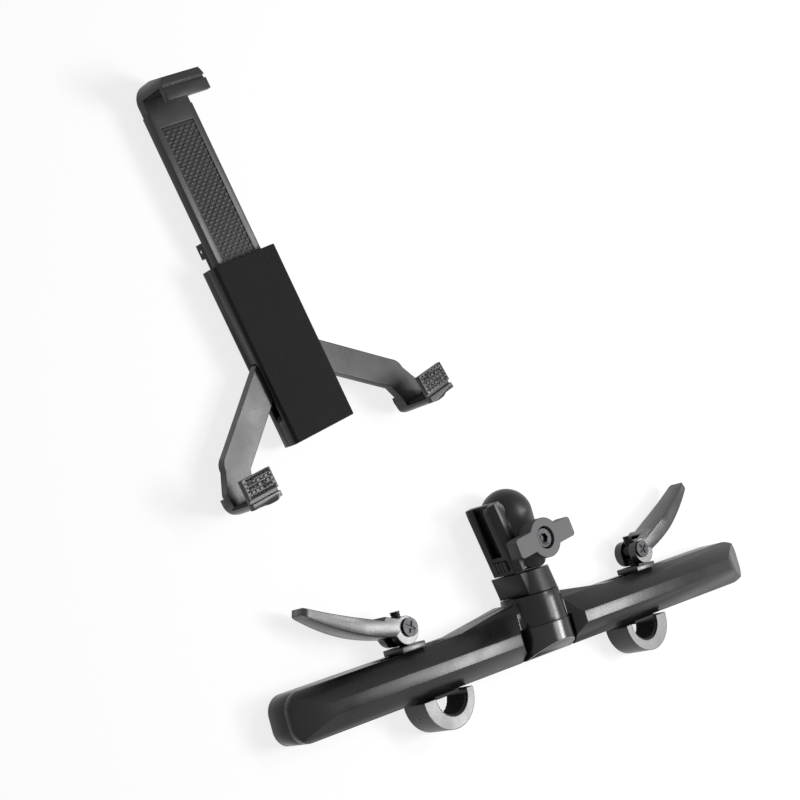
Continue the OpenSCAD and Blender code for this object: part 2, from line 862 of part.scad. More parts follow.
// sleeve under the arm that carries the pin of the release rocker
module rocker_cheeks() {
  w = tab_w + 0.6 + 2 * cheek_w;
  translate([-w / 2, body_y - 1, back_z]) cube([w, sleeve_l + 1, arm_z0 - back_z - 0.2]);
  translate([-w / 2, rock_v - 3, rock_z - 0.6]) cube([w, 6, 3]);
}

module rocker_room() {
  translate([-tab_w / 2 - 0.3, rock_v - rock_grip - 1, rock_z - 2]) cube([tab_w + 0.6, sleeve_l + 10, 10]);
  translate([-20, rock_v, rock_z + rock_t / 2]) xcyl(0.72, 40);
}

module cradle_front() {
  wide = body_x;
  color([0.09, 0.09, 0.10]) cradle_place() difference() {
    translate([-wide, -body_y, skirt_z + 0.05]) cube([2 * wide, body_l, lid_z1 - skirt_z - 0.05]);
    translate([0, 0, skirt_z - 1]) linear_extrude(lid_z0 - skirt_z + 1) difference() {
      square([2 * wide - 2 * skirt_t, body_l - 2 * skirt_t], center = true);
      at_bosses() circle(r = boss_r);
    }
    arm_way(slide_gap);
    leg_way(skirt_z - 1, lid_z0);
    at_bosses() translate([0, 0, back_z]) cylinder(r = small_screw_r + run_fit, h = lid_z0 - back_z + 0.6, $fn = 32);
  }
}

module foam_pad() {
  color([0.13, 0.13, 0.13]) cradle_place() translate([-body_x, -body_y, lid_z1]) {
    translate([0.15, 0.15, 0]) cube([body_w - 0.3, body_l - 0.3, pad_t]);
  }
}

module cradle_screws() {
  color([0.62, 0.62, 0.64]) cradle_place() at_bosses() translate([0, 0, back_z + 0.1]) {
    screw(small_head_r, 0.85, small_screw_r, lid_z0 - back_z - 0.6);
  }
}

module leg_pins() {
  color([0.68, 0.68, 0.7]) cradle_place() for (s = [-1, 1]) translate([s * pivot_u, pivot_v, 0]) {
    translate([0, 0, back_z + 1]) cylinder(r = leg_pin_r, h = lid_z0 - back_z - 1);
  }
}

module leg_washers() {
  color([0.75, 0.73, 0.66]) cradle_place() for (s = [-1, 1]) translate([s * pivot_u, pivot_v, leg_z0 - washer_t - 0.03]) {
    difference() {
      cylinder(r = washer_r, h = washer_t);
      translate([0, 0, -1]) cylinder(r = leg_pin_r + run_fit, h = 10);
    }
  }
}

module release_rocker() {
  grip_v = rock_v - rock_grip;
  color([0.16, 0.16, 0.17]) cradle_place() difference() {
    union() {
      translate([-tab_w / 2, grip_v, rock_z]) cube([tab_w, tab_v1 - grip_v, rock_t]);
      translate([-rack_w / 2 + 0.4, grip_v, rock_z]) cube([rack_w - 0.8, 2.4, arm_z0 - rock_z - 0.1]);
      translate([-tab_w / 2, tab_v1 - 2, rock_z - 0.8]) cube([tab_w, 2, rock_t]);
    }
    translate([-20, rock_v, rock_z + rock_t / 2]) xcyl(0.7 + run_fit, 40);
    for (k = [0:2]) translate([-tab_w / 2 - 1, tab_v0 + 1.4 + 2.2 * k, rock_z - 1]) cube([tab_w + 2, 0.8, 1.4]);
  }
}

module rocker_pin() {
  l = tab_w + 0.6 + 2 * cheek_w - 0.4;
  color([0.7, 0.7, 0.72]) cradle_place() {
    translate([-l / 2, rock_v, rock_z + rock_t / 2]) xcyl(0.7, l);
  }
}

// bent leaf that presses the thumb tab away from the arm
module rocker_spring() {
  z0 = rock_z + rock_t;
  z1 = arm_z0 - 0.5;
  v0 = rock_v - rock_grip - 1;
  v1 = rock_v + 5;
  t = 0.25;
  color([0.7, 0.7, 0.72]) cradle_place() for (s = [-1, 1]) translate([s * (tab_w / 2 - 1) - 0.8, 0, 0]) {
    rotate([90, 0, 90]) linear_extrude(1.6) {
      polygon([[v0, z1], [v0 + 4, z1], [v1, z0], [v1 + 2, z0], [v1 + 2, z0 + t], [v1, z0 + t], [v0 + 4, z1 + t], [v0, z1 + t]]);
    }
  }
}

module arm() {
  recess_w = arm_w - 2 * strip_w;
  claw_w = arm_w - 1;
  color([0.20, 0.20, 0.21]) cradle_place() difference() {
    union() {
      translate([-arm_w / 2, arm_foot_v, arm_z0]) cube([arm_w, claw_v - 6 - arm_foot_v, arm_t]);
      claw(claw_w);
    }
    difference() {
      translate([-recess_w / 2, arm_foot_v - 1, arm_z1 - recess_depth]) cube([recess_w, claw_v - arm_foot_v - 11, 3]);
      ribs(recess_w);
    }
    rack();
    translate([-claw_w, claw_v - groove_w, lip_z1 - groove_d]) cube([2 * claw_w, groove_w, 5]);
    claw_pad_key(0.5);
  }
}

// claw: a leaning wall with a lip, its plan strongly rounded at the outer corners
module claw(w) {
  out_v = claw_v + claw_out;
  r = claw_corner;
  intersection() {
    translate([-w / 2, 0, 0]) rotate([90, 0, 90]) linear_extrude(w) {
      polygon([[claw_v - 8, arm_z0], [out_v, arm_z0], [out_v, arm_z1], [claw_v + claw_wall, lip_z1],
               [claw_v - claw_over, lip_z1], [claw_v - claw_over, lip_z0], [claw_v, lip_z0],
               [claw_v, arm_z1], [claw_v - 8, arm_z1]]);
    }
    linear_extrude(lip_z1 + 1) {
      translate([-w / 2, claw_v - 20]) square([w, out_v - r - claw_v + 20]);
      translate([-w / 2 + r, claw_v - 20]) square([w - 2 * r, out_v - claw_v + 20]);
      for (s = [-1, 1]) translate([s * (w / 2 - r), out_v - r]) circle(r = r);
    }
  }
}

module ribs(w) {
  n = floor((rib_v1 - rib_v0) / rib_p);
  for (k = [0:n]) translate([-w / 2 - 1, rib_v0 + k * rib_p, arm_z1 - recess_depth - 1]) {
    rotate([90, 0, 90]) linear_extrude(w + 2) polygon([[0, 0], [1.1, 0], [0.85, 1 + rib_h], [0.25, 1 + rib_h]]);
  }
}

module rack() {
  n = floor((rib_v1 - rib_v0) / rib_p);
  for (k = [0:n]) translate([-rack_w / 2, rib_v0 + k * rib_p, arm_z0]) {
    rotate([90, 0, 90]) linear_extrude(rack_w) polygon([[-0.1, -0.5], [1, -0.5], [1, rack_d], [0.6, rack_d]]);
  }
}

// key that holds the claw lining in the claw wall
module claw_pad_key(lead) {
  translate([-3, claw_v - lead, lip_z0 - 6]) cube([6, lead + 1, 3]);
}

module claw_pad() {
  w = arm_w - 2.6;
  color([0.07, 0.07, 0.07]) cradle_place() {
    translate([-w / 2, claw_v - 1, arm_z1 + 0.3]) cube([w, 1, lip_z0 - arm_z1 - 0.5]);
    claw_pad_key(0.5);
  }
}

// a leg in its own frame: pivot at the origin, straight bar along the design angle, foot level
module leg_plan() {
  a = design_leg;
  fx = -leg_l * sin(a - foot_lag);
  fy = -leg_l * cos(a - foot_lag);
  run = leg_l * 0.80;
  bend = [-run * sin(a), -run * cos(a)];
  edge = bend + leg_w / 2 * [-cos(a), sin(a)];
  circle(r = disc_r);
  rotate([0, 0, -a]) translate([-leg_w / 2, -run]) square([leg_w, run]);
  translate(bend) circle(r = leg_w / 2 + leg_round);
  polygon([edge, [fx - lip_w / 2 + foot_in, fy + 2], [fx + lip_w / 2, fy - 1], [bend[0] + leg_w / 2, bend[1]]]);
  foot_plan();
}

// plan of the foot, rounded at both lower corners
module foot_plan() {
  fx = -leg_l * sin(design_leg - foot_lag);
  fy = -leg_l * cos(design_leg - foot_lag);
  x0 = fx - lip_w / 2 + foot_in;
  x1 = fx + lip_w / 2;
  y0 = fy - foot_low;
  y1 = fy + 2.1;
  translate([x0, y0 + foot_corner]) square([x1 - x0, y1 - y0 - foot_corner]);
  translate([x0 + foot_corner, y0]) square([x1 - x0 - foot_corner - heel_corner, y1 - y0]);
  translate([x0 + foot_corner, y0 + heel_corner]) square([x1 - x0 - foot_corner, y1 - y0 - heel_corner]);
  translate([x0 + foot_corner, y0 + foot_corner]) circle(r = foot_corner);
  translate([x1 - heel_corner, y0 + heel_corner]) circle(r = heel_corner);
}

// the part of the foot's plan that lies within depth d of its outer face
module foot_strip(d) {
  fx = -leg_l * sin(design_leg - foot_lag);
  fy = -leg_l * cos(design_leg - foot_lag);
  intersection() {
    foot_plan();
    translate([fx - lip_w, fy - foot_low - 1]) square([2 * lip_w, d + 1]);
  }
}

module leg_shape() {
  a = design_leg - foot_lag;
  fx = -leg_l * sin(a);
  fy = -leg_l * cos(a);
  x0 = fx - lip_w / 2;
  y0 = fy - foot_low;
  difference() {
    union() {
      translate([0, 0, leg_z0]) linear_extrude(leg_t) leg_plan();
      translate([0, 0, leg_z0 - 2.4]) linear_extrude(lip_z1 - leg_z0 + 2.4) foot_strip(wall_t);
      translate([0, 0, leg_z0 - 2.4]) linear_extrude(3) foot_strip(8);
      translate([x0, y0 + 0.8, lip_z0]) cube([lip_w, 11.8, lip_t]);
    }
    translate([0, 0, -1]) cylinder(r = leg_pin_r + run_fit, h = 60);
    translate([x0 - 5, y0 + wall_t, lip_z1 - groove_d]) cube([lip_w + 10, groove_w, 5]);
    translate([x0 - 5, y0, leg_z0 - 2.4]) rotate([45, 0, 0]) translate([0, -1, -1]) cube([lip_w + 12, 2, 2]);
    hatch(x0, y0 + wall_t + groove_w);
    translate([fx - 2.5, y0 + wall_t - 1.5, lip_z0 - 6]) cube([5, 3, 3]);
  }
}

// hatched grip on top of the lip
module hatch(x0, y0) {
  w = lip_w;
  l = 12.6 - wall_t - groove_w;
  for (k = [1:6]) translate([x0 + k * w / 7 - 0.25, y0 + 0.6, lip_z1 - 0.3]) cube([0.5, l - 1.2, 1]);
  for (k = [1:4]) translate([x0 + 0.6, y0 + k * l / 5 - 0.25, lip_z1 - 0.3]) cube([w - 1.2, 0.5, 1]);
}

module foot_pad_shape() {
  a = design_leg - foot_lag;
  fx = -leg_l * sin(a);
  fy = -leg_l * cos(a);
  y = fy - 7.4 + wall_t;
  w = lip_w - 1.6;
  translate([fx - w / 2, y, leg_z1 + 0.3]) cube([w, 1, lip_z0 - leg_z1 - 0.5]);
  translate([fx - 2.5, y - 1.5, lip_z0 - 6]) cube([5, 2, 3]);
}

module on_left_leg() {
  cradle_place() translate([-pivot_u, pivot_v, 0]) rotate([0, 0, design_leg - left_leg]) children();
}

module on_right_leg() {
  cradle_place() mirror([1, 0, 0]) translate([-pivot_u, pivot_v, 0]) rotate([0, 0, design_leg - right_leg]) children();
}

module left_leg_bar() { color([0.22, 0.22, 0.23]) on_left_leg() leg_shape(); }
module right_leg_bar() { color([0.22, 0.22, 0.23]) on_right_leg() leg_shape(); }
module left_foot_pad() { color([0.07, 0.07, 0.07]) on_left_leg() foot_pad_shape(); }
module right_foot_pad() { color([0.07, 0.07, 0.07]) on_right_leg() foot_pad_shape(); }

bar_rear_shell();
bar_front_shell();
hub_band();
bar_screws();
thrust_ring();
neck();
head();
clamp_nut();
dock_latch();
latch_spring();
wing_knob();
clamp_screw();
knob_washer();
left_carriage();
left_post_pad();
left_cam_plate();
left_hook();
left_liner();
left_stem();
left_lever();
left_lever_pin();
right_carriage();
right_post_pad();
right_cam_plate();
right_hook();
right_liner();
right_stem();
right_lever();
right_lever_pin();
cradle_back();
cradle_front();
foam_pad();
cradle_screws();
leg_pins();
leg_washers();
release_rocker();
rocker_pin();
rocker_spring();
arm();
claw_pad();
left_leg_bar();
left_foot_pad();
right_leg_bar();
right_foot_pad();
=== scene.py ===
import json
import math
import random

import bmesh
import bpy
from mathutils import Matrix, Vector, noise

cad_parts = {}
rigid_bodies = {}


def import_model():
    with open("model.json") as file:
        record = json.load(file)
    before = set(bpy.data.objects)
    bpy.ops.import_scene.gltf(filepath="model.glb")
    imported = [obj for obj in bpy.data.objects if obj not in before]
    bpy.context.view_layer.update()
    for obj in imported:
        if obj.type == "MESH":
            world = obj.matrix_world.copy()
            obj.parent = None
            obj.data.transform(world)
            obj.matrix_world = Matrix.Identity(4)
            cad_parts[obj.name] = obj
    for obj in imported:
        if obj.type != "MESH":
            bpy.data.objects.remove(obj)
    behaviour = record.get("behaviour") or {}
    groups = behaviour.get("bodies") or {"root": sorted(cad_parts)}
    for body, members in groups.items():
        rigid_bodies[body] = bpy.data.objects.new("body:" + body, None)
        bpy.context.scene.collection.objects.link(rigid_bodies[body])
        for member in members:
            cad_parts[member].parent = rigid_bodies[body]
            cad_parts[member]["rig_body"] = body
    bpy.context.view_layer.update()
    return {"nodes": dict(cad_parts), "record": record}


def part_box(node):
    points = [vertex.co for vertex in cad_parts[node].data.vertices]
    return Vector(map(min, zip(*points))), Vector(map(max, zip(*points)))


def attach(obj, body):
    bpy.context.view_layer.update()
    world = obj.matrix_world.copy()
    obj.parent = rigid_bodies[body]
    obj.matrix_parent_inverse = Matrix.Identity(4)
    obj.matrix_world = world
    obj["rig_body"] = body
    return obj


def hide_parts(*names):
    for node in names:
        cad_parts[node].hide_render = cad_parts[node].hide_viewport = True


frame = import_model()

MM = 0.001
NODES = frame["nodes"]
SLOT = {s["node"]: s["material_slot"] for s in frame["record"]["subparts"]}
JOINTS = {j["name"]: j for j in frame["record"]["behaviour"]["joints"]}
MOUNTS = {m["name"]: m for m in frame["record"]["mounts"]}
UP = Vector((0, 0, 1))
scene = bpy.context.scene
link = scene.collection.objects.link

# ---------------------------------------------------------------- node helpers

FLOAT, INT = "NodeSocketFloat", "NodeSocketInt"
VECTOR, MATERIAL = "NodeSocketVector", "NodeSocketMaterial"
GEOMETRY = "NodeSocketGeometry"
# numbered sockets of a Mix node that mixes colours
MIX_FACTOR, MIX_A, MIX_B, MIX_RESULT = 0, 6, 7, 2


class Tree:
    """Short hand for adding and joining the nodes of one tree."""

    SPACING = 180

    def __init__(self, tree):
        self.tree = tree
        self.x = 0

    def add(self, kind, ins=None, **settings):
        """A new node; settings are its properties, ins its inputs by name or number."""
        node = self.tree.nodes.new(kind)
        node.location = (self.x, 0)
        self.x += self.SPACING
        for key, value in settings.items():
            setattr(node, key, value)
        self.fill(node, ins or {})
        return node

    def fill(self, node, ins):
        for key, value in ins.items():
            self.put(node.inputs[key], value)

    def put(self, socket, value):
        """Joins another node's output to the socket, or sets a plain value."""
        if isinstance(value, bpy.types.NodeSocket):
            self.tree.links.new(value, socket)
        else:
            socket.default_value = value

    def math(self, op, a, b=0.0, c=0.0, clamp=False):
        ins = {0: a, 1: b, 2: c}
        return self.add("ShaderNodeMath", ins, operation=op, use_clamp=clamp).outputs[0]

    def times(self, a, b):
        return self.math("MULTIPLY", a, b)

    def minus(self, a, b):
        return self.math("SUBTRACT", a, b)

    def mix(self, factor, a, b):
        ins = {MIX_FACTOR: factor, MIX_A: a, MIX_B: b}
        return self.add("ShaderNodeMix", ins, data_type="RGBA").outputs[MIX_RESULT]

    def ramp(self, value, lo, hi, a=0.0, b=1.0):
        """The value carried from lo..hi onto a..b, and held at both ends."""
        ins = dict(enumerate((value, lo, hi, a, b)))
        return self.add("ShaderNodeMapRange", ins, clamp=True).outputs[0]

    def noise(self, vector, scale, detail, rough):
        ins = {"Vector": vector, "Scale": scale, "Detail": detail, "Roughness": rough}
        return self.add("ShaderNodeTexNoise", ins).outputs["Fac"]

    def voronoi(self, vector, scale, feature="F1"):
        ins = {"Vector": vector, "Scale": scale}
        return self.add("ShaderNodeTexVoronoi", ins, feature=feature).outputs

    def mapped(self, vector, scale, turn=0.0):
        """The coordinates stretched by scale and turned about Z."""
        ins = {"Vector": vector, "Scale": scale, "Rotation": (0, 0, turn)}
        return self.add("ShaderNodeMapping", ins).outputs["Vector"]


def new_group(kind, name, ins, outs):
    """A node group with its sockets: the group, its Tree, and the ends inside it."""
    group = bpy.data.node_groups.new(name, kind)
    for label, socket_type, value in ins:
        socket = group.interface.new_socket(label, in_out="INPUT", socket_type=socket_type)
        if value is not None:
            socket.default_value = value
    for label, socket_type in outs:
        group.interface.new_socket(label, in_out="OUTPUT", socket_type=socket_type)
    t = Tree(group)
    return group, t, t.add("NodeGroupInput").outputs, t.add("NodeGroupOutput").inputs


# ---------------------------------------------------------------- shared shader groups


def moulded_grain():
    """Fine spark-eroded texture of a mould: its height, broad mottling and speckles."""
    group, t, i, o = new_group(
        "ShaderNodeTree", "moulded_grain",
        [("Vector", VECTOR, None), ("Cells", FLOAT, 6000.0)],
        [("Height", FLOAT), ("Mottle", FLOAT), ("Speckle", FLOAT)],
    )
    ins = {0: i["Vector"], "Scale": i["Cells"]}
    cells = t.add("ShaderNodeVectorMath", ins, operation="SCALE").outputs[0]
    fine = t.noise(cells, scale=1.0, detail=2.0, rough=0.5)
    pits = t.ramp(t.voronoi(cells, scale=0.8)["Distance"], 0.1, 0.7)
    t.put(o["Height"], t.math("MULTIPLY_ADD", pits, 0.5, t.times(fine, 0.5)))
    broad = t.mapped(i["Vector"], (60, 60, 60))
    t.put(o["Mottle"], t.noise(broad, scale=1.0, detail=4.0, rough=0.6))
    dots = t.noise(cells, scale=0.45, detail=1.0, rough=0.4)
    t.put(o["Speckle"], t.ramp(dots, 0.62, 0.78))
    return group


def scuffs():
    """Thin straight scuffs in two directions, in loose patches."""
    group, t, i, o = new_group(
        "ShaderNodeTree", "scuffs",
        [("Vector", VECTOR, None), ("Amount", FLOAT, 0.3)],
        [("Mask", FLOAT)],
    )
    along = t.mapped(i["Vector"], (2600, 130, 900), turn=0.5)
    across = t.mapped(i["Vector"], (160, 3000, 700), turn=-0.3)
    along = t.ramp(t.noise(along, scale=1.0, detail=2.0, rough=0.5), 0.66, 0.72)
    across = t.ramp(t.noise(across, scale=1.0, detail=2.0, rough=0.5), 0.67, 0.73)
    patch = t.ramp(t.noise(i["Vector"], scale=45.0, detail=2.0, rough=0.5), 0.5, 0.72)
    lines = t.math("MAXIMUM", along, across)
    t.put(o["Mask"], t.times(t.times(lines, patch), i["Amount"]))
    return group


def rubbed_edge():
    """Outer edges, where wear shows paler, and the normal that softens them."""
    group, t, i, o = new_group(
        "ShaderNodeTree", "rubbed_edge",
        [("Vector", VECTOR, None), ("Radius", FLOAT, 0.0004), ("Amount", FLOAT, 0.5)],
        [("Mask", FLOAT), ("Normal", VECTOR)],
    )
    soft = t.add("ShaderNodeBevel", {"Radius": i["Radius"]}, samples=6).outputs[0]
    true = t.add("ShaderNodeNewGeometry").outputs["Normal"]
    dot = t.add("ShaderNodeVectorMath", {0: soft, 1: true}, operation="DOT_PRODUCT")
    edge = t.ramp(dot.outputs["Value"], 0.995, 0.90)
    broken = t.ramp(t.noise(i["Vector"], scale=420.0, detail=3.0, rough=0.6), 0.35, 0.65)
    t.put(o["Mask"], t.times(t.times(edge, broken), i["Amount"]))
    t.put(o["Normal"], soft)
    return group


def brushed():
    """Fine lines of turned or rolled metal, and its uneven tone."""
    group, t, i, o = new_group(
        "ShaderNodeTree", "brushed", [("Vector", VECTOR, None)],
        [("Height", FLOAT), ("Tone", FLOAT)],
    )
    lines = t.mapped(i["Vector"], (300, 300, 5200))
    t.put(o["Height"], t.noise(lines, scale=1.0, detail=3.0, rough=0.6))
    t.put(o["Tone"], t.noise(i["Vector"], scale=240.0, detail=3.0, rough=0.6))
    return group


GRAIN, SCUFF, EDGE, BRUSH = moulded_grain(), scuffs(), rubbed_edge(), brushed()


def use(t, group, **ins):
    return t.add("ShaderNodeGroup", ins, node_tree=group).outputs


# ---------------------------------------------------------------- materials


def tone(base, gain=1.0, lift=0.0):
    """An opaque colour made lighter or darker, nowhere above white."""
    return (*(min(1.0, c * gain + lift) for c in base), 1.0)


def material(name):
    """A new material, its Tree, its Principled BSDF and its object coordinates."""
    m = bpy.data.materials.new(name)
    m.use_nodes = True
    m.node_tree.nodes.clear()
    t = Tree(m.node_tree)
    out = t.add("ShaderNodeOutputMaterial")
    bsdf = t.add("ShaderNodeBsdfPrincipled")
    t.put(out.inputs["Surface"], bsdf.outputs[0])
    return m, t, bsdf, t.add("ShaderNodeTexCoord").outputs["Object"]


def bump(t, height, depth_mm, normal=None):
    ins = {"Strength": 1.0, "Distance": depth_mm * MM, "Height": height}
    if normal is not None:
        ins["Normal"] = normal
    return t.add("ShaderNodeBump", ins).outputs[0]


def plastic(name, base, rough, cells, depth, edge, scuff, spec=0.5, pale=None):
    """Moulded plastic: grain of so many cells a metre and so many mm deep, worn edges, scuffs."""
    m, t, bsdf, obj = material(name)
    g = use(t, GRAIN, Vector=obj, Cells=cells)
    e = use(t, EDGE, Vector=obj, Radius=0.5 * MM, Amount=edge)
    s = use(t, SCUFF, Vector=obj, Amount=scuff)
    worn = tone(pale) if pale else tone(base, 2.3, 0.012)
    col = t.mix(t.ramp(g["Mottle"], 0.35, 0.65), tone(base, 0.78), tone(base, 1.22))
    col = t.mix(t.times(g["Speckle"], 0.35), col, worn)
    col = t.mix(t.math("MAXIMUM", e["Mask"], s["Mask"]), col, worn)
    r = t.ramp(g["Mottle"], 0.3, 0.7, rough - 0.05, rough + 0.06)
    r = t.math("MULTIPLY_ADD", s["Mask"], 0.2, r)
    t.fill(bsdf, {
        "Base Color": col,
        "Roughness": t.math("MULTIPLY_ADD", e["Mask"], -0.08, r, clamp=True),
        "Normal": bump(t, g["Height"], depth, e["Normal"]),
        "Specular IOR Level": spec,
    })
    return m


def rubber(name, base):
    """Dull rubber, dusty in places."""
    rough, cells, depth = 0.82, 3600.0, 0.03
    m, t, bsdf, obj = material(name)
    g = use(t, GRAIN, Vector=obj, Cells=cells)
    e = use(t, EDGE, Vector=obj, Radius=0.3 * MM, Amount=0.4)
    dust = t.ramp(g["Mottle"], 0.45, 0.75, 0.0, 0.5)
    col = t.mix(dust, tone(base), tone(base, 1.7, 0.006))
    t.fill(bsdf, {
        "Base Color": t.mix(e["Mask"], col, tone(base, 2.0, 0.01)),
        "Roughness": t.ramp(g["Speckle"], 0, 1, rough, rough - 0.14),
        "Normal": bump(t, g["Height"], depth, e["Normal"]),
        "Specular IOR Level": 0.3,
    })
    return m


def foam(name):
    """Open-cell foam: small sunken cells with painted shade in their hollows, pale lint and a
    broad unevenness.
    """
    cells, depth = 2300.0, 0.09
    m, t, bsdf, obj = material(name)
    wall = t.voronoi(obj, cells, feature="DISTANCE_TO_EDGE")["Distance"]
    # how far into a cell's hollow: it sinks the bump and darkens the colour as painted shade
    cell_hollow_and_shade = t.ramp(wall, 0.02, 0.3)
    cell_tone = t.voronoi(obj, cells)["Color"]
    broad = t.noise(obj, scale=55.0, detail=4.0, rough=0.6)
    fibres = t.mapped(obj, (1500, 260, 800), turn=0.9)
    lint = t.ramp(t.noise(fibres, scale=1.0, detail=2.0, rough=0.5), 0.70, 0.75)
    # painted shade: the sunken middles of the cells are coloured darker than their walls
    col = t.mix(cell_hollow_and_shade, tone((0.016, 0.016, 0.017)), tone((0.006, 0.006, 0.007)))
    col = t.mix(t.times(cell_tone, 0.35), col, tone((0.018, 0.018, 0.019)))
    col = t.mix(t.ramp(broad, 0.4, 0.75, 0.0, 0.45), col, tone((0.020, 0.020, 0.020)))
    col = t.mix(t.times(lint, 0.2), col, tone((0.06, 0.06, 0.06)))
    fine = t.noise(obj, scale=5200.0, detail=2.0, rough=0.5)
    height = t.math("MULTIPLY_ADD", fine, 0.3, t.times(cell_hollow_and_shade, -0.7))
    t.fill(bsdf, {
        "Base Color": col,
        "Roughness": t.ramp(broad, 0.3, 0.7, 0.88, 0.97),
        "Normal": bump(t, height, depth),
        "Specular IOR Level": 0.08,
        "Sheen Weight": 0.03,
        "Sheen Roughness": 0.6,
    })
    return m


def metal(name, base, rough):
    """Brushed metal with edges rubbed bright."""
    m, t, bsdf, obj = material(name)
    b = use(t, BRUSH, Vector=obj)
    e = use(t, EDGE, Vector=obj, Radius=0.2 * MM, Amount=0.6)
    col = t.mix(t.ramp(b["Tone"], 0.35, 0.65), tone(base, 0.8), tone(base))
    t.fill(bsdf, {
        "Base Color": t.mix(e["Mask"], col, tone(base, 1.25)),
        "Roughness": t.ramp(b["Height"], 0.3, 0.7, rough - 0.06, rough + 0.08),
        "Normal": bump(t, b["Height"], 0.01, e["Normal"]),
        "Metallic": 1.0,
    })
    return m


# plastics: name, colour, roughness, grain cells a metre, grain depth in mm, edge wear,
# scuffs, specular level
MATS = {
    "shell_black": plastic(
        "bar_shell_plastic", (0.008, 0.008, 0.009), 0.27, 5200, 0.008, 0.3, 0.08, 0.25),
    "shell_gloss": plastic(
        "hub_band_plastic", (0.010, 0.010, 0.011), 0.24, 9000, 0.004, 0.3, 0.15, 0.34),
    "head_black": plastic(
        "head_plastic", (0.008, 0.008, 0.009), 0.36, 5600, 0.006, 0.3, 0.1, 0.24),
    "knob_grey": plastic(
        "knob_plastic", (0.058, 0.058, 0.060), 0.55, 5200, 0.022, 0.3, 0.12, 0.3),
    "hook_black": plastic(
        "hook_plastic", (0.013, 0.013, 0.014), 0.33, 5200, 0.016, 0.5, 0.2, 0.48),
    "lever_black": plastic(
        "lever_plastic", (0.012, 0.012, 0.013), 0.28, 7000, 0.008, 0.5, 0.2, 0.5),
    "arm_grey": plastic(
        "arm_plastic", (0.013, 0.013, 0.014), 0.36, 5600, 0.014, 0.5, 0.2, 0.30),
    "leg_grey": plastic(
        "leg_plastic", (0.016, 0.016, 0.017), 0.30, 6200, 0.010, 0.5, 0.25, 0.34),
    "acetal": plastic(
        "acetal", (0.62, 0.60, 0.54), 0.42, 5000, 0.01, 0.2, 0.2, pale=(0.7, 0.68, 0.62)),
    "rubber_black": rubber("lining_rubber", (0.014, 0.014, 0.014)),
    "foam": foam("foam_cells"),
    "steel": metal("zinc_plated_steel", (0.62, 0.62, 0.63), 0.30),
    "dark_steel": metal("blackened_steel", (0.022, 0.022, 0.024), 0.36),
    "spring_steel": metal("spring_strip_steel", (0.50, 0.50, 0.52), 0.34),
}
RUBBER = MATS["rubber_black"]
# steel parts that are blackened
DARK = {
    "clamp_nut", "left_lever_pin", "right_lever_pin", "clamp_screw", "knob_washer",
    "left_stem", "right_stem",
}


def finish_of(node):
    return MATS["dark_steel" if node in DARK else SLOT[node]]


# ---------------------------------------------------------------- dressed copies of nodes

WELD = 2e-6  # points closer than this, in metres, are one
FLAT = math.radians(0.3)  # faces that differ by less are one
HARD = math.radians(28.0)  # edges that turn by less aren't rounded
SMOOTH = math.radians(32.0)  # edges that turn by less are shaded smooth
SHORT = 0.9  # edges shorter than this, in mm, aren't rounded
HATCH_SHORT = 1.3  # the same on the legs, whose feet have a fine hatch


def body_of(node):
    return NODES[node]["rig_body"]


def finish_mesh(me):
    me.polygons.foreach_set("use_smooth", [True] * len(me.polygons))
    me.set_sharp_from_angle(angle=SMOOTH)
    me.update()


def opened(node, name, merge=True):
    """A copy of the node's mesh, and that copy open for work."""
    me = NODES[node].data.copy()
    me.name = name
    bm = bmesh.new()
    bm.from_mesh(me)
    bmesh.ops.remove_doubles(bm, verts=bm.verts, dist=WELD)
    if merge:
        bmesh.ops.dissolve_limit(
            bm, angle_limit=FLAT, verts=bm.verts, edges=bm.edges, delimit=set())
    return me, bm


def closed(me, bm):
    """Ends the work and puts it in the mesh, with all normals outward."""
    bmesh.ops.recalc_face_normals(bm, faces=bm.faces)
    bm.to_mesh(me)
    bm.free()


def skin(node, width, merge, short):
    """A copy of the node with its hard edges rounded by width, in mm."""
    me, bm = opened(node, node + "_skin", merge)
    least_face = (width * 2.2 * MM) * short * MM
    edges = []
    for e in bm.edges:
        if len(e.link_faces) != 2 or e.calc_length() < short * MM:
            continue
        if e.calc_face_angle(0.0) < HARD or not e.is_convex:
            continue
        if min(f.calc_area() for f in e.link_faces) < least_face:
            continue
        edges.append(e)
    bmesh.ops.bevel(
        bm, geom=edges, offset=width * MM, offset_type="OFFSET", segments=2,
        profile=0.5, affect="EDGES", clamp_overlap=True,
    )
    closed(me, bm)
    me.materials.clear()
    me.materials.append(finish_of(node))
    ob = bpy.data.objects.new(node + "_skin", me)
    link(ob)
    finish_mesh(me)
    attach(ob, body_of(node))
    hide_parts(node)


for node, ob in NODES.items():
    ob.data.materials.clear()
    ob.data.materials.append(finish_of(node))

# moulded parts whose edges are rounded, and by how many millimetres
WIDTHS = {
    "bar_front_shell": 0.35, "bar_rear_shell": 0.3, "hub_band": 0.12, "neck": 0.35,
    "head": 0.35, "dock_latch": 0.15, "wing_knob": 0.45,
    "left_cam_plate": 0.3, "right_cam_plate": 0.3, "left_hook": 0.5, "right_hook": 0.5,
    "left_lever": 0.55, "right_lever": 0.55,
    "cradle_back": 0.25, "cradle_front": 0.35, "release_rocker": 0.25,
    "arm": 0.18, "left_leg_bar": 0.3, "right_leg_bar": 0.3,
    "left_lever_pin": 0.2, "right_lever_pin": 0.2, "clamp_screw": 0.15,
}
for node, width in WIDTHS.items():
    # the cradle front's end wall goes round the arm's opening, so its faces aren't merged
    merge = node != "cradle_front"
    skin(node, width, merge, HATCH_SHORT if "leg_bar" in node else SHORT)

# ---------------------------------------------------------------- geometry node trees

RIB_SIDES = 16
RIB_SHORTER = 0.6 * MM  # a rib is this much shorter than its lining is high


def geo_tree(name, sizes):
    return new_group("GeometryNodeTree", name, sizes, [("Geometry", GEOMETRY)])


